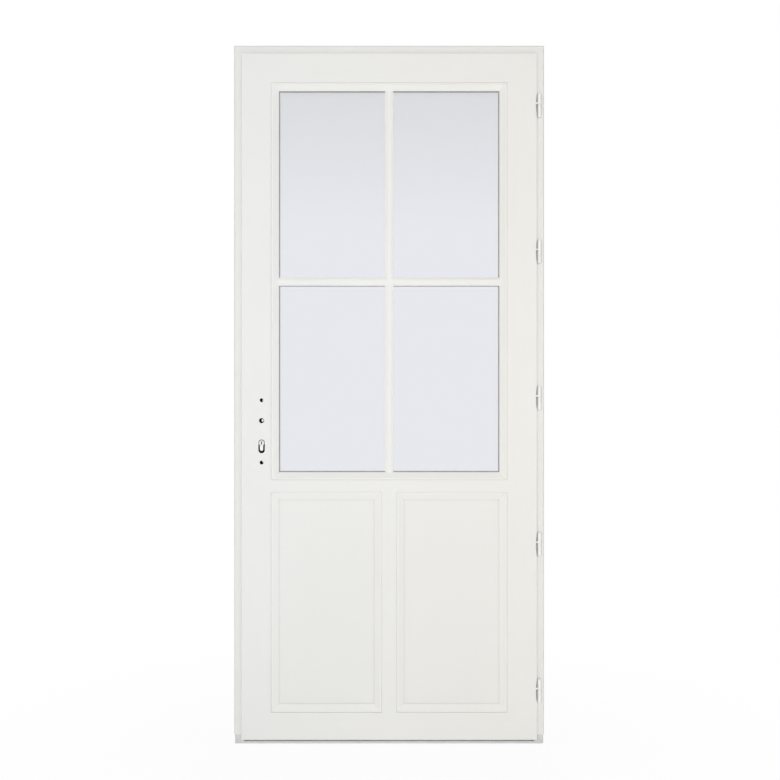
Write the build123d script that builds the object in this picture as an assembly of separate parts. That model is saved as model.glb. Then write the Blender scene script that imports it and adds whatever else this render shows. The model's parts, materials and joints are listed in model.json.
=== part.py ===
from build123d import *
import os

# Entrance door set: a rebated timber leaf, glazed above and panelled below, hung on five barrel hinges
# in a rebated timber frame on an aluminium threshold. Millimetres, +Z up, the room side faces -Y.
# The origin is on the floor under the middle of the frame.

# Frame
frame_width = 974
frame_height = 2193
frame_depth = 58
reveal = 24
head_reveal = 29
stop_width = 25
frame_arris_radius = 5

# Clearances
face_gap = 5
edge_gap = 6
slip_fit = 0.1

# Threshold
threshold_height = 28
threshold_inset = 3
threshold_wall = 2.5
threshold_nose_width = 5
threshold_toe_height = 7
threshold_toe_depth = 14
threshold_back_height = 12

# Leaf
floor_gap = 15.5
leaf_thickness = 46
lip_thickness = 10
lip_width = 14
bottom_lip_width = 5.5
leaf_arris_radius = 1.5
stile_face = 93
top_rail_face = 91.5
middle_rail_face = 38
bottom_rail_face = 85.5
mullion_face = 45
panel_opening_height = 689.5

# Mouldings
bead_width = 24
bead_setback = 1
bead_arris = 2
bead_flat = 7
bead_step = 1.2
bead_edge = 3
outer_moulding_width = 20
outer_moulding_thickness = 8
outer_moulding_quirk = 2
panel_edge_gap = 2

# Glazing
pane_thickness = 4
pane_edge_gap = 3
cavity = 12
spacer_width = 12
seal_thickness = 2
seal_cover = 10
seal_sight = 3.5
bar_width = 26
bar_depth = 6.5
bar_flat = 10
bar_edge = 3

# Frame seal
frame_seal_width = 8
frame_seal_edge = 5
frame_seal_gap = 1

# Weather bar
weather_bar_height = 58
weather_bar_projection = 38
weather_bar_nose = 14
weather_bar_ledge = 5
weather_bar_floor_gap = 36
weather_bar_end_gap = 10
drip_groove_radius = 3
drip_groove_setback = 8

# Hinges
hinge_count = 5
lowest_hinge_rise = 156
top_hinge_drop = 158.5
barrel_radius = 6
barrel_edge_gap = 2
hinge_setback = 5
leaf_knuckle_length = 34
frame_knuckle_length = 40
knuckle_chamfer = 1
split_gap = 0.4
hinge_pin_radius = 3.5
hinge_pin_length = 22
frame_stud_radius = 4
leaf_stud_radius = 3
leaf_stud_rise = 3.5
stud_depth = 36
scallop_depth = 4
scallop_end = 5

# Lock
backset = 50
spindle_height = 1014.5
spindle_hole_radius = 8
spindle_square = 7
spindle_to_cylinder = 70
plate_screw_above_spindle = 64
plate_screw_spacing = 195
plate_post_radius = 6
plate_post_depth = 22
plate_screw_radius = 2.75
cylinder_slot_width = 20
cylinder_slot_height = 43
cylinder_slot_drop = 10.5
cylinder_head_radius = 8.5
cylinder_body_width = 10
cylinder_height = 33
cylinder_room_proud = 2
cylinder_outside_proud = 3
plug_radius = 6.5
plug_length = 28
keyway_width = 2.5
keyway_height = 9
keyway_depth = 20
faceplate_width = 20
faceplate_thickness = 3
faceplate_length = 235
faceplate_above_spindle = 87
case_depth = 70
case_thickness = 16
case_above_spindle = 52
case_height = 165
follower_radius = 9.5
latch_height = 24
latch_above_spindle = 30
dead_bolt_height = 30
dead_bolt_below_spindle = 32
bolt_width = 12
bolt_length = 30
bolt_proud = 1
strike_pocket_depth = 16

# Depths, from the room side to the outside
frame_front = -frame_depth / 2
frame_back = frame_depth / 2
lip_back = frame_front - face_gap
leaf_front = lip_back - lip_thickness
leaf_back = leaf_front + leaf_thickness
stop_front = leaf_back + face_gap
moulding_seat = leaf_back - outer_moulding_thickness
outer_pane_back = moulding_seat - seal_thickness
outer_pane_front = outer_pane_back - pane_thickness
inner_pane_back = outer_pane_front - cavity
inner_pane_front = inner_pane_back - pane_thickness
bead_back = inner_pane_front - seal_thickness

# Widths, from the middle outwards
frame_edge = frame_width / 2
leaf_edge = frame_edge - reveal
body_edge = leaf_edge - lip_width
jamb_inner = body_edge + edge_gap
stop_inner = jamb_inner - stop_width
opening_edge = leaf_edge - stile_face
mullion_edge = mullion_face / 2

# Heights, from the floor
leaf_bottom = floor_gap
leaf_top = frame_height - head_reveal
body_bottom = leaf_bottom + bottom_lip_width
body_top = leaf_top - lip_width
head_underside = body_top + edge_gap
head_stop = head_underside - stop_width
panel_bottom = leaf_bottom + bottom_rail_face
panel_top = panel_bottom + panel_opening_height
glass_bottom = panel_top + middle_rail_face
glass_top = leaf_top - top_rail_face
glass_middle = (glass_bottom + glass_top) / 2
threshold_front_height = body_bottom - face_gap

# Openings in the leaf as (left, right, bottom, top)
glass_opening = (-opening_edge, opening_edge, glass_bottom, glass_top)
left_opening = (-opening_edge, -mullion_edge, panel_bottom, panel_top)
right_opening = (mullion_edge, opening_edge, panel_bottom, panel_top)

# Hinge line and lock line
hinge_x = leaf_edge + barrel_edge_gap + barrel_radius
hinge_y = leaf_front + hinge_setback
lowest_split = leaf_bottom + lowest_hinge_rise
hinge_pitch = (leaf_top - top_hinge_drop - lowest_split) / (hinge_count - 1)
hinge_splits = [lowest_split + hinge_pitch * i for i in range(hinge_count)]
lock_x = -(body_edge - backset)
lock_y = (lip_back + leaf_back) / 2
cylinder_z = spindle_height - spindle_to_cylinder
plate_screw_heights = [spindle_height + plate_screw_above_spindle - drop for drop in (0, plate_screw_spacing)]


# Box between a low and a high limit on each axis
def block(x, y, z):
    box = Box(x[1] - x[0], y[1] - y[0], z[1] - z[0], align=(Align.MIN, Align.MIN, Align.MIN))
    return Pos(x[0], y[0], z[0]) * box


# Both mirror images of an x span
def mirrored(low, high):
    return [(-high, -low), (low, high)]


# Round bar along Y through the leaf or frame, between two depths
def rod_along_y(x, z, radius, y):
    plane = Plane(origin=(x, y[0], z), x_dir=(1, 0, 0), z_dir=(0, 1, 0))
    return extrude(plane * Circle(radius), amount=y[1] - y[0])


# Flat ring inside an opening, between two insets from its edge
def ring(opening, outer_inset, inner_inset, y):
    left, right, bottom, top = opening
    outer = block((left + outer_inset, right - outer_inset), y, (bottom + outer_inset, top - outer_inset))
    inner = block((left + inner_inset, right - inner_inset), y, (bottom + inner_inset, top - inner_inset))
    return outer - inner


# Sheet that fills an opening, less an edge gap
def sheet(opening, edge, y):
    left, right, bottom, top = opening
    return block((left + edge, right - edge), y, (bottom + edge, top - edge))


# Quarter-round moulding section: x runs inwards from the opening's edge, y out from the seat
def ovolo_section(width, depth, quirk):
    radius = depth - quirk
    outline = [
        CenterArc((width - radius, quirk), radius, 0, 90),
        Polyline((width - radius, depth), (0, depth), (0, 0), (width, 0), (width, quirk)),
    ]
    return make_face(Curve() + outline)


# Bead section, drawn the same way: a bevelled arris, a flat, a small step, then a splay down to a thin edge
def bead_section():
    depth = bead_back - leaf_front - bead_setback
    return make_face(Polyline(
        (0, 0), (0, depth - bead_arris), (bead_arris, depth), (bead_flat, depth), (bead_flat, depth - bead_step),
        (bead_width, bead_edge), (bead_width, 0), close=True))


# One mitred length of moulding along one side of an opening; face is -1 for the room side, 1 for outside
def mitred_length(section, width, opening, side, seat, face):
    left, right, bottom, top = opening
    middle_x = (left + right) / 2
    middle_z = (bottom + top) / 2
    inner_left = (left + width, bottom + width), (left + width, top - width)
    inner_right = (right - width, bottom + width), (right - width, top - width)
    ends = {
        "left": ((left, middle_z), (1, 0), [(left, bottom), inner_left[0], inner_left[1], (left, top)]),
        "right": ((right, middle_z), (-1, 0), [(right, bottom), inner_right[0], inner_right[1], (right, top)]),
        "bottom": ((middle_x, bottom), (0, 1), [(left, bottom), inner_left[0], inner_right[0], (right, bottom)]),
        "top": ((middle_x, top), (0, -1), [(left, top), inner_left[1], inner_right[1], (right, top)]),
    }
    (x, z), (inward_x, inward_z), outline = ends[side]
    inward = Vector(inward_x, 0, inward_z)
    outward = Vector(0, face, 0)
    plane = Plane(origin=(x, seat, z), x_dir=inward, z_dir=inward.cross(outward))
    reach = max(right - left, top - bottom)
    run = extrude(plane * section, amount=reach, both=True)
    mitre = extrude(Plane.XZ * make_face(Polyline(*outline, close=True)), amount=reach, both=True)
    return run & mitre


# Room-side bead along one side of an opening
def bead(opening, side):
    return mitred_length(bead_section(), bead_width, opening, side, bead_back, -1)


# Moulding worked on the outside of a stile or rail, which the glass and panels are bedded against
def outer_moulding(opening, side):
    section = ovolo_section(outer_moulding_width, outer_moulding_thickness, outer_moulding_quirk)
    return mitred_length(section, outer_moulding_width, opening, side, moulding_seat, 1)


# Rounds some of the room-side edges of a solid, each picked by an axis and its place along it
def round_front(solid, radius, picks):
    edges = solid.faces().sort_by(Axis.Y)[0].edges()
    return fillet([edges.sort_by(axis)[place] for axis, place in picks], radius)


# Jamb section: rebate part beside the leaf and stop behind it, on the right-hand side
def jamb_blocks(outer, z):
    rebate = block((jamb_inner, outer), (frame_front, stop_front), z)
    stop = block((stop_inner, outer), (stop_front, frame_back), z)
    return rebate + stop


def make_hinge_jamb():
    jamb = jamb_blocks(frame_edge, (threshold_height, frame_height))
    jamb = round_front(jamb, frame_arris_radius, [(Axis.X, -1), (Axis.Z, -1)])
    for split in hinge_splits:
        jamb -= frame_stud(split, frame_stud_radius + slip_fit)
    return jamb


def make_lock_jamb():
    jamb = mirror(jamb_blocks(frame_edge, (threshold_height, frame_height)), Plane.YZ)
    jamb = round_front(jamb, frame_arris_radius, [(Axis.X, 0), (Axis.Z, -1)])
    jamb -= strike_blank()
    for z in bolt_spans():
        pocket_x = (-jamb_inner - faceplate_thickness - strike_pocket_depth, -jamb_inner)
        jamb -= block(pocket_x, bolt_depths(), z)
    return jamb


def make_frame_head():
    rebate = block((-jamb_inner, jamb_inner), (frame_front, stop_front), (head_underside, frame_height))
    stop = block((-stop_inner, stop_inner), (stop_front, frame_back), (head_stop, frame_height))
    return round_front(rebate + stop, frame_arris_radius, [(Axis.Z, -1)])


def make_end_blocks():
    right = jamb_blocks(frame_edge - threshold_inset, (0, threshold_height))
    return Compound([right.solid(), mirror(right, Plane.YZ).solid()])


# Hollow aluminium section: low toe in front, tread under the leaf, then an upstand that sheds water outwards
def make_threshold():
    wall = threshold_wall
    nose_back = stop_front + threshold_nose_width
    tread = threshold_front_height
    toe = threshold_toe_height
    toe_back = frame_front + threshold_toe_depth
    outline = Polyline(
        (frame_front, 0), (frame_back, 0), (frame_back, threshold_back_height), (nose_back, threshold_height),
        (stop_front, threshold_height), (stop_front, tread), (toe_back, tread), (toe_back, toe),
        (frame_front, toe), close=True)
    tread_chamber = Polyline(
        (frame_front + wall, wall), (stop_front - wall, wall), (stop_front - wall, tread - wall),
        (toe_back + wall, tread - wall), (toe_back + wall, toe - wall), (frame_front + wall, toe - wall), close=True)
    back_chamber = Polyline(
        (stop_front + wall, wall), (frame_back - wall, wall), (frame_back - wall, threshold_back_height - wall),
        (stop_front + wall, threshold_height - 2 * wall), close=True)
    section = make_face(outline) - make_face(tread_chamber) - make_face(back_chamber)
    run = extrude(Plane.YZ * section, amount=jamb_inner, both=True)
    return run - make_end_blocks()


# Gasket on the stop, round the two jambs and the head
def make_frame_seal():
    y = (leaf_back + frame_seal_gap, stop_front)
    inner = stop_inner + frame_seal_edge
    outer = inner + frame_seal_width
    low = head_stop + frame_seal_edge
    seal = block((-outer, outer), y, (low, low + frame_seal_width))
    for x in mirrored(inner, outer):
        seal += block(x, y, (threshold_height, low))
    return seal


# Leaf member with its overlapping lip in front of its rebated body
def stile_blank(outer, body_outer):
    x = sorted((outer, -opening_edge if outer < 0 else opening_edge))
    body_x = sorted((body_outer, -opening_edge if outer < 0 else opening_edge))
    lip = block(x, (leaf_front, lip_back), (leaf_bottom, leaf_top))
    outer_side = (Axis.X, 0 if outer < 0 else -1)
    lip = round_front(lip, leaf_arris_radius, [outer_side, (Axis.Z, 0), (Axis.Z, -1)])
    return lip + block(body_x, (lip_back, leaf_back), (body_bottom, body_top))


def rail_blank(lip_z, body_z):
    x = (-opening_edge, opening_edge)
    return block(x, (leaf_front, lip_back), lip_z), block(x, (lip_back, leaf_back), body_z)


def make_hinge_stile():
    stile = stile_blank(leaf_edge, body_edge)
    stile += outer_moulding(glass_opening, "right")
    stile += outer_moulding(right_opening, "right")
    half_chord = (leaf_knuckle_length + frame_knuckle_length) / 2 + scallop_end
    radius = (half_chord ** 2 + scallop_depth ** 2) / (2 * scallop_depth)
    for split in hinge_splits:
        middle = split + (leaf_knuckle_length - frame_knuckle_length) / 2
        stile -= rod_along_y(leaf_edge + radius - scallop_depth, middle, radius, (leaf_front, lip_back))
        stile -= leaf_stud(split, leaf_stud_radius + slip_fit)
    return stile


def make_lock_stile():
    through = (leaf_front, leaf_back)
    stile = stile_blank(-leaf_edge, -body_edge)
    stile += outer_moulding(glass_opening, "left")
    stile += outer_moulding(left_opening, "left")
    stile -= faceplate_blank()
    stile -= case_blank()
    stile -= rod_along_y(lock_x, spindle_height, spindle_hole_radius, through)
    for z in plate_screw_heights:
        stile -= rod_along_y(lock_x, z, plate_post_radius, (leaf_front, leaf_front + plate_post_depth))
        stile -= rod_along_y(lock_x, z, plate_screw_radius, through)
    slot = SlotOverall(cylinder_slot_height, cylinder_slot_width, rotation=90)
    plane = Plane(origin=(lock_x, leaf_back, cylinder_z - cylinder_slot_drop), x_dir=(1, 0, 0), z_dir=(0, -1, 0))
    stile -= extrude(plane * slot, amount=leaf_thickness)
    return stile


def make_top_rail():
    lip, body = rail_blank((glass_top, leaf_top), (glass_top, body_top))
    lip = round_front(lip, leaf_arris_radius, [(Axis.Z, -1)])
    return lip + body + outer_moulding(glass_opening, "top")


def make_middle_rail():
    lip, body = rail_blank((panel_top, glass_bottom), (panel_top, glass_bottom))
    rail = lip + body + outer_moulding(glass_opening, "bottom")
    return rail + outer_moulding(left_opening, "top") + outer_moulding(right_opening, "top")


def make_bottom_rail():
    lip, body = rail_blank((leaf_bottom, panel_bottom), (body_bottom, panel_bottom))
    rail = round_front(lip, leaf_arris_radius, [(Axis.Z, 0)]) + body
    return rail + outer_moulding(left_opening, "bottom") + outer_moulding(right_opening, "bottom")


def make_panel_mullion():
    mullion = block((-mullion_edge, mullion_edge), (leaf_front, leaf_back), (panel_bottom, panel_top))
    return mullion + outer_moulding(left_opening, "right") + outer_moulding(right_opening, "left")


# Two mitred beads of one opening, on opposite sides
def bead_pair(opening, sides):
    return Compound([bead(opening, side).solid() for side in sides])


def glazing_seal_inner():
    inset = bead_width - seal_cover
    return ring(glass_opening, inset, bead_width + seal_sight, (bead_back, inner_pane_front))


def glazing_seal_outer():
    inset = outer_moulding_width - seal_cover
    return ring(glass_opening, inset, outer_moulding_width, (outer_pane_back, moulding_seat))


def make_glazing_seals():
    return Compound([glazing_seal_inner().solid(), glazing_seal_outer().solid()])


# Glazing bars on one face of the glass: two moulded bars that cross, scribed to the moulding round the glass
def bar_cross(seat, face, depth, inset):
    left, right, bottom, top = glass_opening
    flat = bar_flat / 2
    edge = bar_width / 2
    section = make_face(Polyline(
        (-edge, 0), (-edge, bar_edge), (-flat, depth), (flat, depth), (edge, bar_edge), (edge, 0), close=True))
    upright_plane = Plane(origin=(0, seat, bottom + inset), x_dir=(face, 0, 0), z_dir=(0, 0, 1))
    upright = extrude(upright_plane * section, amount=top - bottom - 2 * inset)
    level_plane = Plane(origin=(left + inset, seat, glass_middle), x_dir=(0, 0, -face), z_dir=(1, 0, 0))
    level = extrude(level_plane * section, amount=right - left - 2 * inset)
    return upright + level


def make_bars_inside():
    bars = bar_cross(inner_pane_front, -1, bar_depth, bead_width - seal_cover) - glazing_seal_inner()
    for side in ("left", "right", "bottom", "top"):
        bars -= bead(glass_opening, side)
    return bars


def make_bars_outside():
    depth = leaf_back - bead_setback - outer_pane_back
    bars = bar_cross(outer_pane_back, 1, depth, outer_moulding_width - seal_cover) - glazing_seal_outer()
    for side in ("left", "right", "bottom", "top"):
        bars -= outer_moulding(glass_opening, side)
    return bars


# Drip moulding on the outside of the bottom rail
def make_weather_bar():
    low = weather_bar_floor_gap
    front = leaf_back + weather_bar_projection
    high = low + weather_bar_height
    outline = Polyline(
        (leaf_back, low), (front, low), (front, low + weather_bar_nose), (leaf_back + weather_bar_ledge, high),
        (leaf_back, high), close=True)
    groove = Pos(front - drip_groove_setback, low) * Circle(drip_groove_radius)
    return extrude(Plane.YZ * (make_face(outline) - groove), amount=stop_inner - weather_bar_end_gap, both=True)


# Stud of the leaf's hinge half, driven sideways into the edge of the leaf just above the split
def leaf_stud(split, radius):
    plane = Plane(origin=(hinge_x, hinge_y, split + leaf_stud_rise), x_dir=(0, 1, 0), z_dir=(-1, 0, 0))
    return extrude(plane * Circle(radius), amount=hinge_x - leaf_edge + stud_depth)


# Stud of the frame's hinge half, driven into the face of the jamb
def frame_stud(split, radius):
    return rod_along_y(hinge_x, split - frame_knuckle_length / 2, radius, (hinge_y, frame_front + stud_depth))


def upright_rod(radius, bottom, top):
    return extrude(Plane((hinge_x, hinge_y, bottom)) * Circle(radius), amount=top - bottom)


def make_leaf_half(split):
    bottom = split + split_gap / 2
    barrel = upright_rod(barrel_radius, bottom, split + leaf_knuckle_length)
    barrel = chamfer(barrel.edges().sort_by(Axis.Z)[-1], knuckle_chamfer)
    half = barrel + leaf_stud(split, leaf_stud_radius)
    return half - upright_rod(hinge_pin_radius + slip_fit, bottom, split + hinge_pin_length + split_gap)


def make_frame_half(split):
    top = split - split_gap / 2
    barrel = upright_rod(barrel_radius, split - frame_knuckle_length, top)
    barrel = chamfer(barrel.edges().sort_by(Axis.Z)[0], knuckle_chamfer)
    hinge_pin = upright_rod(hinge_pin_radius, top, split + hinge_pin_length)
    return barrel + hinge_pin + frame_stud(split, frame_stud_radius)


# Lock faceplate let into the edge of the stile, and the matching strike plate in the jamb
def faceplate_z():
    top = spindle_height + faceplate_above_spindle
    return (top - faceplate_length, top)


def faceplate_y():
    return (lock_y - faceplate_width / 2, lock_y + faceplate_width / 2)


def faceplate_blank():
    return block((-body_edge, -body_edge + faceplate_thickness), faceplate_y(), faceplate_z())


def strike_blank():
    return block((-jamb_inner - faceplate_thickness, -jamb_inner), faceplate_y(), faceplate_z())


# Depths and heights of the latch and the dead bolt
def bolt_depths():
    return (lock_y - bolt_width / 2, lock_y + bolt_width / 2)


def bolt_spans():
    latch = spindle_height + latch_above_spindle
    dead_bolt = spindle_height - dead_bolt_below_spindle
    return [
        (latch - latch_height / 2, latch + latch_height / 2),
        (dead_bolt - dead_bolt_height / 2, dead_bolt + dead_bolt_height / 2),
    ]


# Bolt drawn back into the lock, a little proud of the faceplate
def bolt(z):
    return block((-body_edge - bolt_proud, -body_edge - bolt_proud + bolt_length), bolt_depths(), z)


def case_blank():
    edge = -body_edge + faceplate_thickness
    y = (lock_y - case_thickness / 2, lock_y + case_thickness / 2)
    top = spindle_height + case_above_spindle
    return block((edge, edge + case_depth), y, (top - case_height, top))


# Europrofile cylinder body between two depths: round head above a narrow body with a round foot
def cylinder_blank(clearance, y):
    head = Circle(cylinder_head_radius + clearance)
    foot_radius = cylinder_body_width / 2 + clearance
    foot_drop = cylinder_height - cylinder_head_radius - cylinder_body_width / 2
    body = Pos(0, -foot_drop / 2) * Rectangle(2 * foot_radius, foot_drop)
    foot = Pos(0, -foot_drop) * Circle(foot_radius)
    plane = Plane(origin=(lock_x, y[1], cylinder_z), x_dir=(1, 0, 0), z_dir=(0, -1, 0))
    return extrude(plane * (head + body + foot), amount=y[1] - y[0])


def make_faceplate():
    plate = faceplate_blank()
    for z in bolt_spans():
        plate -= bolt(z)
    return plate


def make_strike_plate():
    plate = strike_blank()
    for z in bolt_spans():
        plate -= block((-jamb_inner - faceplate_thickness, -jamb_inner), bolt_depths(), z)
    return plate


def make_lock_case():
    y = (lock_y - case_thickness / 2, lock_y + case_thickness / 2)
    case = case_blank() - rod_along_y(lock_x, spindle_height, follower_radius + slip_fit, y)
    case -= cylinder_blank(slip_fit, y)
    for z in bolt_spans():
        case -= bolt(z)
    return case


# Follower that the handle's square spindle turns, seen through the spindle hole
def make_follower():
    y = (lock_y - case_thickness / 2, lock_y + case_thickness / 2)
    square = block((lock_x - spindle_square / 2, lock_x + spindle_square / 2), y,
                   (spindle_height - spindle_square / 2, spindle_height + spindle_square / 2))
    return rod_along_y(lock_x, spindle_height, follower_radius, y) - square


def keyway(y):
    x = (lock_x - keyway_width / 2, lock_x + keyway_width / 2)
    return block(x, y, (cylinder_z - keyway_height / 2, cylinder_z + keyway_height / 2))


def make_cylinder():
    room_end = leaf_front - cylinder_room_proud
    outside_end = leaf_back + cylinder_outside_proud
    cylinder = cylinder_blank(0, (room_end, outside_end))
    cylinder -= rod_along_y(lock_x, cylinder_z, plug_radius + slip_fit, (room_end, room_end + plug_length))
    return cylinder - keyway((outside_end - keyway_depth, outside_end))


# Plug that the key turns, on the room side
def make_key_plug():
    room_end = leaf_front - cylinder_room_proud
    plug = rod_along_y(lock_x, cylinder_z, plug_radius, (room_end, room_end + plug_length - slip_fit))
    return plug - keyway((room_end, room_end + keyway_depth))


parts = {
    "hinge_jamb": make_hinge_jamb(),
    "lock_jamb": make_lock_jamb(),
    "frame_head": make_frame_head(),
    "threshold": make_threshold(),
    "threshold_end_blocks": make_end_blocks(),
    "frame_seal": make_frame_seal(),
    "strike_plate": make_strike_plate(),
    "hinge_stile": make_hinge_stile(),
    "lock_stile": make_lock_stile(),
    "top_rail": make_top_rail(),
    "middle_rail": make_middle_rail(),
    "bottom_rail": make_bottom_rail(),
    "panel_mullion": make_panel_mullion(),
    "left_panel": sheet(left_opening, panel_edge_gap, (bead_back, moulding_seat)),
    "right_panel": sheet(right_opening, panel_edge_gap, (bead_back, moulding_seat)),
    "left_panel_bead_rails": bead_pair(left_opening, ("bottom", "top")),
    "left_panel_bead_stiles": bead_pair(left_opening, ("left", "right")),
    "right_panel_bead_rails": bead_pair(right_opening, ("bottom", "top")),
    "right_panel_bead_stiles": bead_pair(right_opening, ("left", "right")),
    "inner_glass": sheet(glass_opening, pane_edge_gap, (inner_pane_front, inner_pane_back)),
    "outer_glass": sheet(glass_opening, pane_edge_gap, (outer_pane_front, outer_pane_back)),
    "glass_spacer": ring(glass_opening, pane_edge_gap, pane_edge_gap + spacer_width, (inner_pane_back, outer_pane_front)),
    "glazing_seals": make_glazing_seals(),
    "glazing_bead_rails": bead_pair(glass_opening, ("bottom", "top")),
    "glazing_bead_stiles": bead_pair(glass_opening, ("left", "right")),
    "glazing_bars_inside": make_bars_inside(),
    "glazing_bars_outside": make_bars_outside(),
    "weather_bar": make_weather_bar(),
    "lock_faceplate": make_faceplate(),
    "lock_case": make_lock_case(),
    "spindle_follower": make_follower(),
    "latch_bolt": bolt(bolt_spans()[0]),
    "dead_bolt": bolt(bolt_spans()[1]),
    "lock_cylinder": make_cylinder(),
    "key_plug": make_key_plug(),
}
for number, split in enumerate(hinge_splits, start=1):
    parts[f"hinge_{number}_frame_half"] = make_frame_half(split)
    parts[f"hinge_{number}_leaf_half"] = make_leaf_half(split)

os.makedirs("parts", exist_ok=True)
for name, solid in parts.items():
    export_step(solid, f"parts/{name}.step")
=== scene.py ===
import json
import math
import bpy
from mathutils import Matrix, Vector


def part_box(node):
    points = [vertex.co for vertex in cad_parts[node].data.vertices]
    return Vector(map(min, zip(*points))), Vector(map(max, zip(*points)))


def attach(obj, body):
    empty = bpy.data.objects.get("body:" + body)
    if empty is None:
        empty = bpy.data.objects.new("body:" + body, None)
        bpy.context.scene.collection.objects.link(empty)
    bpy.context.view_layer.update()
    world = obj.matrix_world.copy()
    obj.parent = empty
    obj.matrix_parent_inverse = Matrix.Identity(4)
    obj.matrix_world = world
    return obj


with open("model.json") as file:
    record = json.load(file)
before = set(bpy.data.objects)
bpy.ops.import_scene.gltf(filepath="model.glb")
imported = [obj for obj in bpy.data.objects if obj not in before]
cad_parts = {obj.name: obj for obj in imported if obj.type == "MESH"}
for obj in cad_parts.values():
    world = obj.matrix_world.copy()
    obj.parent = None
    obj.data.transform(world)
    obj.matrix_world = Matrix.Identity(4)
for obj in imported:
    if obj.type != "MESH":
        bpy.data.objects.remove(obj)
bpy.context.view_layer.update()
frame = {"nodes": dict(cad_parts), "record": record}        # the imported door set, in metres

nodes = frame["nodes"]
scene = bpy.context.scene
print("loaded", len(nodes), "door pieces")


class Wire:                                        # a shader value that takes part in plain maths
    def __init__(self, tree, socket=None):
        self.tree = tree
        self.socket = socket

    def node(self, kind, settings, values, result=0):   # any node: its settings first, then its sockets
        made = self.tree.nodes.new(kind)
        for name, value in settings.items():
            setattr(made, name, value)
        for key, value in values.items():
            if isinstance(value, Wire):
                self.tree.links.new(value.socket, made.inputs[key])
            else:
                made.inputs[key].default_value = value
        return Wire(self.tree, made.outputs[result])

    def maths(self, operation, first, second):
        return self.node("ShaderNodeMath", {"operation": operation}, {0: first, 1: second})

    def __add__(self, other):
        return self.maths("ADD", self, other)

    def __sub__(self, other):
        return self.maths("SUBTRACT", self, other)

    def __rsub__(self, other):
        return self.maths("SUBTRACT", other, self)

    def __mul__(self, other):
        return self.maths("MULTIPLY", self, other)

    def __pow__(self, other):
        return self.maths("POWER", self, other)

    def __gt__(self, other):
        return self.maths("GREATER_THAN", self, other)

    def __lt__(self, other):
        return self.maths("LESS_THAN", self, other)

    __radd__ = __add__
    __rmul__ = __mul__

    def larger(self, other):
        return self.maths("MAXIMUM", self, other)

    def clamped(self, low, high):                  # 0 at low, 1 at high
        values = {"Value": self, "From Min": low, "From Max": high}
        return self.node("ShaderNodeMapRange", {"clamp": True}, values)

    def blend(self, first, second):                # colour mix by this mask
        return self.node("ShaderNodeMix", {"data_type": "RGBA"}, {0: self, 6: first, 7: second}, 2)

    def stretched(self, scale):                    # a vector or colour times a vector
        return self.node("ShaderNodeVectorMath", {"operation": "MULTIPLY"}, {0: self, 1: scale})

    def noise(self, scale, detail=2.0, roughness=0.5):
        values = {"Vector": self, "Scale": scale, "Detail": detail, "Roughness": roughness}
        return self.node("ShaderNodeTexNoise", {}, values)

    def axes(self):                                # x, y and z of a vector
        split = self.node("ShaderNodeSeparateXYZ", {}, {0: self})
        return [Wire(self.tree, out) for out in split.socket.node.outputs]


def linear(red, green, blue):                      # 0-255 screen colour to the linear colour of a socket
    parts = [c / 255 for c in (red, green, blue)]
    parts = [c / 12.92 if c <= 0.04045 else ((c + 0.055) / 1.055) ** 2.4 for c in parts]
    return (*parts, 1.0)


def dulled(colour, share):                         # the same colour, darker
    return [c * share for c in colour[:3]] + [1.0]


class Finish:                                      # one material and its shader
    def __init__(self, name):
        self.material = bpy.data.materials.new(name)
        self.material.use_nodes = True
        self.tree = self.material.node_tree
        self.shader = self.tree.nodes["Principled BSDF"]
        self.place = Wire(self.tree).node("ShaderNodeTexCoord", {}, {}, "Object")

    def set(self, **values):
        for name, value in values.items():
            target = self.shader.inputs[name.replace("_", " ")]
            if isinstance(value, Wire):
                self.tree.links.new(value.socket, target)
            else:
                target.default_value = value

    def crevice(self, reach):                      # 1 on open faces, towards 0 in corners
        return self.place.node("ShaderNodeAmbientOcclusion", {"samples": 6}, {"Distance": reach}, "AO")

    def bump(self, height, distance, under=None):
        values = {"Height": height, "Distance": distance, "Strength": 1.0}
        if under:
            values["Normal"] = under
        return self.place.node("ShaderNodeBump", {}, values)


paintLook = {
    "coat": linear(240, 240, 238),
    # painted light: the coat warmer and a touch lighter on the hinge side
    "warmLight": linear(241, 240, 235),
    "sides": (-0.42, 0.42),                        # from the lock side to the hinge side
    "lipLight": linear(252, 252, 249),                # painted light on the frame's face beside the leaf's edge, where the leaf's step throws shade
    "lipFade": (0.006, 0.0),                       # from this far out to the leaf's edge
    "lipSkin": 0.001,                              # how much depth counts as the frame's face
    "dull": linear(222, 221, 215),
    "mottle": 0.09,
    "cloudScale": 2.6,
    "cloudShare": 0.7,                             # of the mottle, the rest is fibres
    "mottleSpan": (0.65, 0.35),
    "shade": linear(208, 206, 198),                # painted shade in the corners
    "gap": linear(120, 118, 112),                  # and darker painted shade in the narrow gaps behind the hinges
    "cornerSpan": (0.35, 0.95),
    "gapSpan": (0.2, 0.62),
    "gapReach": 0.012,
    "grainAcross": 210.0,
    "grainAlong": 5.0,
    "grainDetail": 3.0,
    "grainCoarse": 0.6,
    "grainDepth": 0.00007,
    "peelScale": 620.0,
    "peelDepth": 0.00003,
    "roughness": 0.36,
    "grainRougher": 0.10,
    "cornerRougher": 0.15,
    "specular": 0.45,
}
boreTimberShadeLook = {                                     # the bare timber in the lock's holes, painted near black as the shade inside them
    "rawInShade": linear(34, 28, 22),
    "dark": linear(15, 12, 10),
    "ringStretch": (1.0, 1.0, 0.15),
    "ringScale": 900.0,
    "rougher": 0.4,
}
lock = {
    "x": sum(c.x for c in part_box("key_plug")) / 2,
    "plugZ": sum(c.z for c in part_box("key_plug")) / 2,
    "spindleZ": sum(c.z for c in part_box("spindle_follower")) / 2,
    "screwsFromSpindle": (0.064, -0.131),
    "slotFromPlug": (-0.022, 0.001),
    "slotReach": 0.0105,
    "holeReach": 0.0085,
    "skin": 0.0006,                                # the paint's depth into the holes
}
joints = {joint["name"]: joint for joint in frame["record"]["behaviour"]["joints"]}
hingeLine = joints["leaf_swing"]["pos_m"][0]


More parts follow.
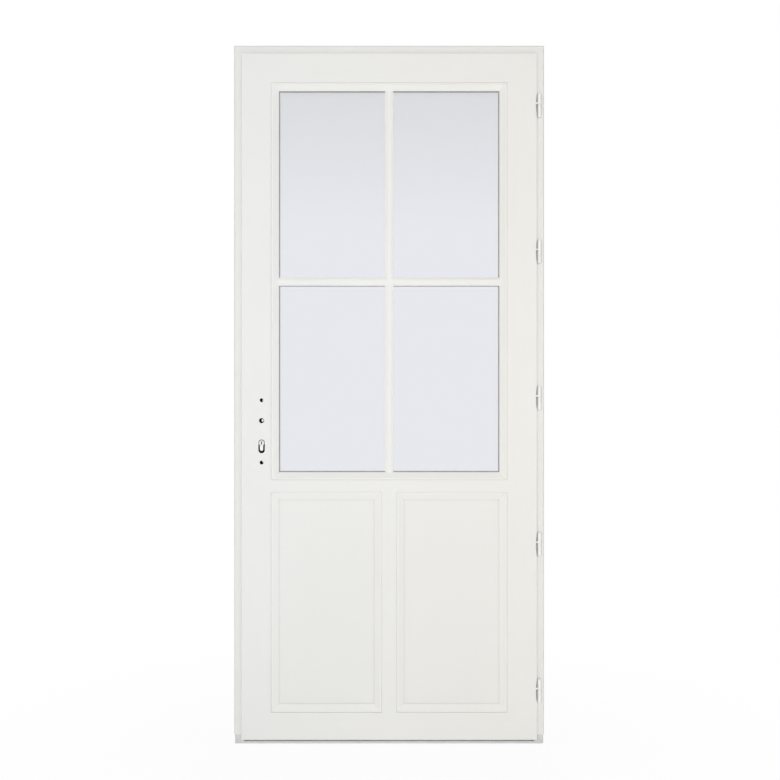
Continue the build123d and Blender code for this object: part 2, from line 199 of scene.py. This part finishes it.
def paintTone(place):                              # one coat over it all, with painted light that is warmer towards the hinge side
    across = place.axes()[0].clamped(*paintLook["sides"])
    return across.blend(paintLook["coat"], paintLook["warmLight"])


def lipLightMask(place):                                # 1 on the frame's face at the leaf's edge, 0 further out: where the painted light goes
    x, y, z = place.axes()
    beyond = (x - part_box("hinge_stile")[1].x).larger(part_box("lock_stile")[0].x - x)
    beyond = beyond.larger(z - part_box("top_rail")[1].z)
    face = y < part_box("hinge_jamb")[0].y + paintLook["lipSkin"]
    return beyond.clamped(*paintLook["lipFade"]) * face


def boredMask(place):                              # 1 inside the lock's holes
    x, y, z = place.axes()
    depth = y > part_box("lock_stile")[0].y + lock["skin"]
    low, high = [lock["plugZ"] + rise for rise in lock["slotFromPlug"]]
    end = (z - high).larger(low - z).larger(0.0)
    within = ((x - lock["x"]) ** 2 + end ** 2) ** 0.5 < lock["slotReach"]
    for rise in (0.0, *lock["screwsFromSpindle"]):
        radius = ((x - lock["x"]) ** 2 + (z - lock["spindleZ"] - rise) ** 2) ** 0.5
        within = within.larger(radius < lock["holeReach"])
    return within * depth


def paintFinish(name, grain, tint=1.0, reach=0.008, shaded=0.1, bored=False, lipped=False):
    look = paintLook
    finish = Finish(name)
    along, across = look["grainAlong"], look["grainAcross"]
    stretch = {"upright": (across, across, along), "level": (along, across, across)}[grain]
    fibres = finish.place.stretched(stretch).noise(1.0, look["grainDetail"], look["grainCoarse"])
    peel = finish.place.noise(look["peelScale"], 1.0)
    cloud = finish.place.noise(look["cloudScale"], 3.0)
    worn = cloud * look["cloudShare"] + fibres * (1 - look["cloudShare"])
    # a lighter or darker copy of the coat by the tint: painted light or shade for each member
    coat = paintTone(finish.place).stretched((tint, tint, tint))
    tone = (worn.clamped(*look["mottleSpan"]) * look["mottle"]).blend(coat, look["dull"])
    if lipped:
        # painted light: the frame's face brighter at the leaf's edge, against the shade of the leaf's step
        tone = lipLightMask(finish.place).blend(tone, look["lipLight"])
        x = finish.place.axes()[0]
        # painted shade in the narrow gaps behind the hinges, on the leaf's side of them
        narrow = 1 - finish.crevice(look["gapReach"]).clamped(*look["gapSpan"])
        tone = (narrow * (x * x < hingeLine ** 2)).blend(tone, look["gap"])
    corner = 1 - finish.crevice(reach).clamped(*look["cornerSpan"])
    # painted shade: the paint darker in the corners
    tone = (corner * shaded).blend(tone, look["shade"])
    rough = look["roughness"] + (fibres - 0.5) * look["grainRougher"] + corner * look["cornerRougher"]
    if bored:
        # the holes: bare timber, painted near black for the shade inside them
        bareInShade = boredMask(finish.place)
        rings = finish.place.stretched(boreTimberShadeLook["ringStretch"]).noise(boreTimberShadeLook["ringScale"])
        tone = bareInShade.blend(tone, rings.blend(boreTimberShadeLook["dark"], boreTimberShadeLook["rawInShade"]))
        rough = rough + bareInShade * boreTimberShadeLook["rougher"]
    surface = finish.bump(fibres, look["grainDepth"])
    surface = finish.bump(peel, look["peelDepth"], under=surface)
    finish.set(Base_Color=tone, Roughness=rough, Normal=surface, Specular_IOR_Level=look["specular"])
    return finish.material


brushedLook = {
    "stretch": {"x": (8.0, 900.0, 900.0), "z": (900.0, 900.0, 8.0), "round": (300.0, 300.0, 300.0)},
    "lineShare": 0.6,                              # of the tone, the rest is clouds
    "lineDepth": 0.00004,
    "lineRougher": 0.18,
    "cloudScale": 14.0,
    "toneSpan": (0.3, 0.7),
    "dull": 0.86,
    "cornerReach": 0.006,
    "cornerSpan": (0.3, 0.9),
    # painted shade in the corners
    "shadeColour": linear(70, 68, 64),
}


def brushedFinish(name, colour, roughness, along, metallic=1.0, shadeShare=0.45):
    look = brushedLook
    finish = Finish(name)
    lines = finish.place.stretched(look["stretch"][along]).noise(1.0)
    cloud = finish.place.noise(look["cloudScale"], 3.0)
    worn = lines * look["lineShare"] + cloud * (1 - look["lineShare"])
    tone = worn.clamped(*look["toneSpan"]).blend(dulled(colour, look["dull"]), colour)
    corner = 1 - finish.crevice(look["cornerReach"]).clamped(*look["cornerSpan"])
    # painted shade: darker in the corners and recesses
    tone = (corner * shadeShare).blend(tone, look["shadeColour"])
    rough = roughness + (lines - 0.5) * look["lineRougher"]
    surface = finish.bump(lines, look["lineDepth"])
    finish.set(Base_Color=tone, Roughness=rough, Metallic=metallic, Normal=surface)
    return finish.material


plasticLook = {
    "fineScale": 1400.0,
    "fineDepth": 0.00003,
    "fineRougher": 0.15,
    "cloudScale": 30.0,
    "toneSpan": (0.35, 0.65),
    "dull": 0.9,
}


def plasticFinish(name, colour, roughness):
    look = plasticLook
    finish = Finish(name)
    fine = finish.place.noise(look["fineScale"])
    cloud = finish.place.noise(look["cloudScale"], 3.0)
    tone = cloud.clamped(*look["toneSpan"]).blend(dulled(colour, look["dull"]), colour)
    rough = roughness + (fine - 0.5) * look["fineRougher"]
    finish.set(Base_Color=tone, Roughness=rough, Normal=finish.bump(fine, look["fineDepth"]))
    return finish.material


coatedLook = {                                     # the white lacquer on the hinges
    "colour": linear(251, 251, 247),
    "roughness": 0.28,
    "fineScale": 2200.0,
    "fineDepth": 0.00002,
    "fineRougher": 0.08,
    "cloudScale": 60.0,
    "toneSpan": (0.35, 0.65),
    "dull": 0.95,
    "cornerReach": 0.004,
    "cornerSpan": (0.3, 0.9),
    # painted shade in the corners
    "shadeShare": 0.12,
    "shadeColour": linear(150, 148, 142),
    "coatWeight": 0.25,
}


def coatedFinish(name):
    look = coatedLook
    finish = Finish(name)
    fine = finish.place.noise(look["fineScale"], 1.0)
    cloud = finish.place.noise(look["cloudScale"])
    tone = cloud.clamped(*look["toneSpan"]).blend(dulled(look["colour"], look["dull"]), look["colour"])
    corner = 1 - finish.crevice(look["cornerReach"]).clamped(*look["cornerSpan"])
    # painted shade: a faint grey in the hinges' corners
    tone = (corner * look["shadeShare"]).blend(tone, look["shadeColour"])
    rough = look["roughness"] + (fine - 0.5) * look["fineRougher"]
    surface = finish.bump(fine, look["fineDepth"])
    finish.set(Base_Color=tone, Roughness=rough, Normal=surface, Coat_Weight=look["coatWeight"])
    return finish.material


glassLook = {
    "low": linear(242, 243, 246),
    "high": linear(235, 236, 238),
    "height": (1.62, 2.06),                        # where the tint goes from low to high: painted shade, darker towards the top
    "ior": 1.5,
    "film": 0.015,
    "smearScale": 3.0,
    "smearDetail": 4.0,
    "smearCoarse": 0.6,
    "smearSpan": (0.55, 0.8),
}


def glassFinish(name):
    look = glassLook
    finish = Finish(name)
    smear = finish.place.noise(look["smearScale"], look["smearDetail"], look["smearCoarse"])
    rough = smear.clamped(*look["smearSpan"]) * look["film"]
    # painted shade: the panes darker towards the top
    tint = finish.place.axes()[2].clamped(*look["height"]).blend(look["low"], look["high"])
    finish.set(Base_Color=tint, Roughness=rough, Transmission_Weight=1.0, IOR=look["ior"])
    return finish.material


# the tints make lighter and darker copies of one white paint: painted light on the mouldings and bars,
# painted shade on the panels, jambs and head
paints = {
    "lockStile": {"name": "paintedLockStile", "grain": "upright", "bored": True},
    "stile": {"name": "paintedStile", "grain": "upright"},
    "rail": {"name": "paintedRail", "grain": "level"},
    "panel": {"name": "paintedPanel", "grain": "upright", "tint": 0.985, "reach": 0.016, "shaded": 0.75},
    "beadStile": {"name": "paintedMouldingUpright", "grain": "upright", "tint": 1.03},
    "beadRail": {"name": "paintedMouldingLevel", "grain": "level", "tint": 1.03},
    "bars": {"name": "paintedBars", "grain": "upright", "tint": 1.03},
    "jamb": {"name": "paintedJamb", "grain": "upright", "tint": 0.98, "shaded": 0.0, "lipped": True},
    "head": {"name": "paintedHead", "grain": "level", "tint": 0.98},
}
metals = {
    "threshold": {"name": "anodisedThreshold", "colour": linear(245, 245, 245), "roughness": 0.42,
                  "along": "x", "metallic": 0.3, "shadeShare": 0.05},
    "plate": {"name": "zincSteel", "colour": linear(198, 197, 194), "roughness": 0.34, "along": "z"},
    "inside": {"name": "oiledSteel", "colour": linear(22, 21, 20), "roughness": 0.55,
               "along": "z", "metallic": 0.5},
    "nickel": {"name": "nickelBrass", "colour": linear(253, 252, 249), "roughness": 0.24,
               "along": "round", "metallic": 0.4, "shadeShare": 0.05},
    "plug": {"name": "nickelPlug", "colour": linear(240, 239, 235), "roughness": 0.24,
             "along": "round", "metallic": 0.6, "shadeShare": 0.9},
    "screw": {"name": "screwSteel", "colour": linear(236, 235, 230), "roughness": 0.26,
              "along": "round", "metallic": 0.7, "shadeShare": 0.7},
    "spacer": {"name": "spacerMetal", "colour": linear(205, 206, 208), "roughness": 0.4, "along": "z"},
}
plastics = {
    "endBlock": {"name": "greyEndBlock", "colour": linear(221, 221, 220), "roughness": 0.5},
    "glazing": {"name": "glazingRubber", "colour": linear(164, 164, 158), "roughness": 0.6},
    "seal": {"name": "frameRubber", "colour": linear(168, 168, 165), "roughness": 0.6},
}
paint = {piece: paintFinish(**look) for piece, look in paints.items()}
metal = {piece: brushedFinish(**look) for piece, look in metals.items()}
plastic = {piece: plasticFinish(**look) for piece, look in plastics.items()}
hingeCoat = coatedFinish("whiteHinge")
clearGlass = glassFinish("clearGlass")

finishes = {
    "hinge_jamb": paint["jamb"], "lock_jamb": paint["jamb"], "frame_head": paint["head"],
    "hinge_stile": paint["stile"], "lock_stile": paint["lockStile"], "panel_mullion": paint["stile"],
    "top_rail": paint["rail"], "middle_rail": paint["rail"], "bottom_rail": paint["rail"],
    "weather_bar": paint["rail"],
    "left_panel": paint["panel"], "right_panel": paint["panel"],
    "glazing_bars_inside": paint["bars"], "glazing_bars_outside": paint["bars"],
    "inner_glass": clearGlass, "outer_glass": clearGlass, "glass_spacer": metal["spacer"],
    "glazing_seals": plastic["glazing"], "frame_seal": plastic["seal"],
    "threshold": metal["threshold"], "threshold_end_blocks": plastic["endBlock"],
    "strike_plate": metal["plate"], "lock_faceplate": metal["plate"], "lock_case": metal["inside"],
    "spindle_follower": metal["inside"], "latch_bolt": metal["nickel"], "dead_bolt": metal["nickel"],
    "lock_cylinder": metal["nickel"], "key_plug": metal["plug"],
}
for name in nodes:
    if name.endswith("bead_rails"):
        finishes[name] = paint["beadRail"]
    elif name.endswith("bead_stiles"):
        finishes[name] = paint["beadStile"]
    elif name.startswith("hinge_") and name.endswith("_half"):
        finishes[name] = hingeCoat

arris = {
    "weld": 0.00001,
    "flat": math.radians(0.5),
    "angle": math.radians(35),
    "segments": 2,
    "barWidth": 0.0006,
    "fineWidth": 0.0003,
}
panes = ("inner_glass", "outer_glass")
sharp = {*panes, "glass_spacer", "glazing_seals", "frame_seal", "lock_case"}
flush = {"hinge_jamb", "lock_jamb", "frame_head", "hinge_stile", "lock_stile", "top_rail", "middle_rail",
         "bottom_rail", "panel_mullion"}           # painted over, so their joints don't show


def softenEdges(piece, width):                     # eased arrises, as sanded timber and drawn metal have
    weld = piece.modifiers.new("weld", "WELD")
    weld.merge_threshold = arris["weld"]
    flat = piece.modifiers.new("flatFaces", "DECIMATE")
    flat.decimate_type = "DISSOLVE"
    flat.angle_limit = arris["flat"]
    ease = piece.modifiers.new("arris", "BEVEL")
    ease.width = width
    ease.segments = arris["segments"]
    ease.limit_method = "ANGLE"
    ease.angle_limit = arris["angle"]
    ease.harden_normals = True


for name, piece in nodes.items():
    piece.data.materials.clear()
    piece.data.materials.append(finishes[name])
    if name not in sharp and name not in flush:
        softenEdges(piece, arris["barWidth" if name.startswith("glazing_bars") else "fineWidth"])
for name in panes:
    nodes[name].visible_shadow = False             # light falls through the panes onto what is behind
print("dressed the door pieces")

screwHead = {
    "radius": 0.0036,
    "rim": 24,                                     # points round the rim
    "thick": 0.0005,
    "round": 0.00012,
    "crossLong": 0.0021,                           # half the cross's span
    "crossWide": 0.00045,                          # half the width of its arms
    "fromEnd": 0.010,                              # on the lock's plates, from each end
    "fixingDrop": 0.011,                           # the screw that holds the cylinder, under the plug
}


def crossOutline(long, wide):                      # the recess for the driver
    arm = [(long, wide), (wide, wide), (wide, long)]
    points = []
    for quarter in range(4):
        for x, y in arm:
            for _ in range(quarter):
                x, y = -y, x
            points.append((x, y))
    return points


def addScrew(name, at, facing, body):              # a countersunk head, its face towards +X or -X
    look = screwHead
    turns = [2 * math.pi * step / look["rim"] for step in range(look["rim"])]
    rim = [(look["radius"] * math.cos(turn), look["radius"] * math.sin(turn)) for turn in turns]
    outline = bpy.data.curves.new(name, "CURVE")
    outline.dimensions = "2D"
    outline.fill_mode = "BOTH"
    outline.extrude = look["thick"] / 2 - look["round"]
    outline.bevel_depth = look["round"]
    outline.bevel_resolution = 1
    outline.offset = -look["round"]
    for points in (rim, crossOutline(look["crossLong"], look["crossWide"])):
        spline = outline.splines.new("POLY")
        spline.points.add(len(points) - 1)
        for point, (x, y) in zip(spline.points, points):
            point.co = (x, y, 0, 1)
        spline.use_cyclic_u = True
    outline.materials.append(metal["screw"])
    head = bpy.data.objects.new(name, outline)
    head.location = at
    head.rotation_euler = (0, facing * math.pi / 2, 0)
    scene.collection.objects.link(head)
    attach(head, body)


def addLockScrews():
    low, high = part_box("lock_faceplate")
    middle = (low.y + high.y) / 2
    heights = {"low": low.z + screwHead["fromEnd"], "high": high.z - screwHead["fromEnd"]}
    heights["fixing"] = lock["plugZ"] - screwHead["fixingDrop"]
    for place, height in heights.items():
        addScrew("faceplateScrew." + place, (low.x, middle, height), -1, "leaf")
    low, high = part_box("strike_plate")
    heights = {"low": low.z + screwHead["fromEnd"], "high": high.z - screwHead["fromEnd"]}
    for place, height in heights.items():
        addScrew("strikeScrew." + place, (high.x, middle, height), 1, "frame")


addLockScrews()
print("set the lock's screws")

viewpoint = {
    "pixels": 780,
    "metresPerPixel": 0.003128,                    # on the leaf's face
    "doorPixel": 389.15,                           # column of the door's middle in the photo
    "eyeHeight": 1.1104,
    "lens": 50.0,
    "sensor": 36.0,
}


def addCamera():
    look = viewpoint
    wide = look["pixels"] * look["metresPerPixel"]
    away = look["lens"] * wide / look["sensor"]
    across = (look["pixels"] / 2 - look["doorPixel"]) * look["metresPerPixel"]
    camera = bpy.data.objects.new("photoCamera", bpy.data.cameras.new("photoCamera"))
    camera.location = (across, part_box("lock_stile")[0].y - away, look["eyeHeight"])
    camera.rotation_euler = (math.pi / 2, 0, 0)
    camera.data.sensor_width = look["sensor"]
    camera.data.lens = look["lens"]
    scene.collection.objects.link(camera)
    scene.camera = camera


lampAim = Vector((0, 0, 1.1))                      # the middle of the door
lamps = {
    "keyLeft": {"at": (-0.5, -4.8, 1.4), "size": 1.2, "watts": 62.0},
    "fillRight": {"at": (0.4, -4.8, 1.4), "size": 1.2, "watts": 50.0},
    "backSoft": {"at": (0.6, 4.6, 2.2), "size": 3.0, "watts": 140.0},
}


def addLamps():
    for name, lamp in lamps.items():
        data = bpy.data.lights.new(name, "AREA")
        data.energy = lamp["watts"]
        data.size = lamp["size"]
        made = bpy.data.objects.new(name, data)
        made.location = lamp["at"]
        made.rotation_euler = (lampAim - made.location).to_track_quat("-Z", "Y").to_euler()
        made.visible_camera = False
        made.visible_transmission = False          # no lamp shows through the glass
        made.visible_glossy = False                # nor as a glare on it
        scene.collection.objects.link(made)


def rayKind(wire, kind):                           # 1 for rays of this kind
    return wire.node("ShaderNodeLightPath", {}, {}, kind)


def seenDirectly(wire):                            # 1 for what the camera sees, also through the glass
    return rayKind(wire, "Is Camera Ray").larger(rayKind(wire, "Is Transmission Ray"))


room = {
    "colour": (1, 1, 1, 1),
    "front": 0.30,
    "behind": 0.10,
    "above": 0.35,
    "span": (0.1, -0.9),                           # from behind the door round to its front
}


def addWorld():
    world = bpy.data.worlds.new("studio")
    world.use_nodes = True
    scene.world = world
    background = world.node_tree.nodes["Background"]
    background.inputs["Color"].default_value = room["colour"]
    start = Wire(world.node_tree)
    x, y, z = start.node("ShaderNodeTexCoord", {}, {}, "Generated").axes()
    ahead = y.clamped(*room["span"])
    ambient = ahead * (room["front"] - room["behind"]) + room["behind"]
    ambient = ambient + z.clamped(0.0, 1.0) * room["above"]
    mirrored = rayKind(start, "Is Glossy Ray") * ahead     # a white room in front, dark behind
    strength = seenDirectly(start).larger(mirrored).larger(ambient)
    world.node_tree.links.new(strength.socket, background.inputs["Strength"])


floorLook = {
    "half": 60.0,                                  # half the floor's side
    "drop": 0.0002,                                # just under the threshold
    "colour": (0.9, 0.9, 0.9, 1),
    "roughness": 0.9,
    "glow": (1, 1, 1, 1),
    "white": 0.94,                                 # how much of the glow shows near the door
    "fade": (0.5, 1.5),                            # where the lit floor gives way to plain white
    "ahead": (0.0, -1.0),                          # the floor that the glass mirrors
}


def addFloor():
    look = floorLook
    half = look["half"]
    corners = [(-half, -half, 0), (half, -half, 0), (half, half, 0), (-half, half, 0)]
    mesh = bpy.data.meshes.new("floor")
    mesh.from_pydata(corners, [], [(0, 1, 2, 3)])
    floor = bpy.data.objects.new("floor", mesh)
    floor.location.z = -look["drop"]
    scene.collection.objects.link(floor)
    finish = Finish("paleFloor")
    finish.set(Base_Color=look["colour"], Roughness=look["roughness"])
    place = finish.place
    glow = place.node("ShaderNodeEmission", {}, {"Color": look["glow"], "Strength": 1.0})
    away = place.node("ShaderNodeVectorMath", {"operation": "LENGTH"}, {0: place}, "Value")
    white = away.clamped(*look["fade"]) * (1 - look["white"]) + look["white"]
    mirrored = rayKind(place, "Is Glossy Ray") * place.axes()[1].clamped(*look["ahead"])
    white = seenDirectly(place).larger(mirrored) * white
    lit = Wire(finish.tree, finish.shader.outputs[0])
    mixed = place.node("ShaderNodeMixShader", {}, {0: white, 1: lit, 2: glow})
    finish.tree.links.new(mixed.socket, finish.tree.nodes["Material Output"].inputs["Surface"])
    mesh.materials.append(finish.material)


addCamera()
addLamps()
addWorld()
addFloor()
scene.view_settings.view_transform = "Standard"
print("set the studio")
